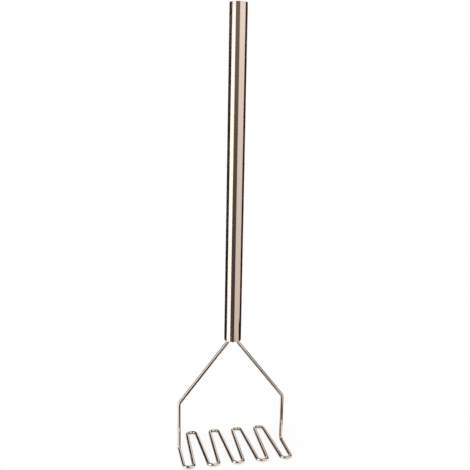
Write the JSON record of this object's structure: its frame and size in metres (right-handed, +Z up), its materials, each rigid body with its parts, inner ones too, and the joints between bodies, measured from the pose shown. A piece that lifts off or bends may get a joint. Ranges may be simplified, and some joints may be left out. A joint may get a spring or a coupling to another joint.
{
  "type": "potato masher",
  "caption": "Long-handled potato masher: a closed steel tube handle with one bent wire that forms two arms, two legs and a flat zigzag face.",
  "frame": {"origin": "centre of the mashing face's footprint, on the surface that the wire rests on", "axes": "+Z up, parallel to the handle; +X across the face, from the left leg to the right; +Y towards the far side of the face, so -Y is the near side seen in the picture"},
  "size_m": [0.155, 0.099, 0.61],
  "materials": {
    "brushed_handle": "stainless steel tube, belt-ground satin, with fine lines round it",
    "brushed_cap": "turned stainless steel, satin",
    "polished_wire": "bright polished nickel-chrome plate on steel wire",
    "weld_steel": "dressed stainless weld bead"
  },
  "bodies": {
    "root": {"handle_tube": "brushed_handle", "top_end_cap": "brushed_cap", "bottom_end_cap": "brushed_cap", "masher_wire": "polished_wire", "left_wire_weld": "weld_steel", "right_wire_weld": "weld_steel"}
  },
  "joints": []
}
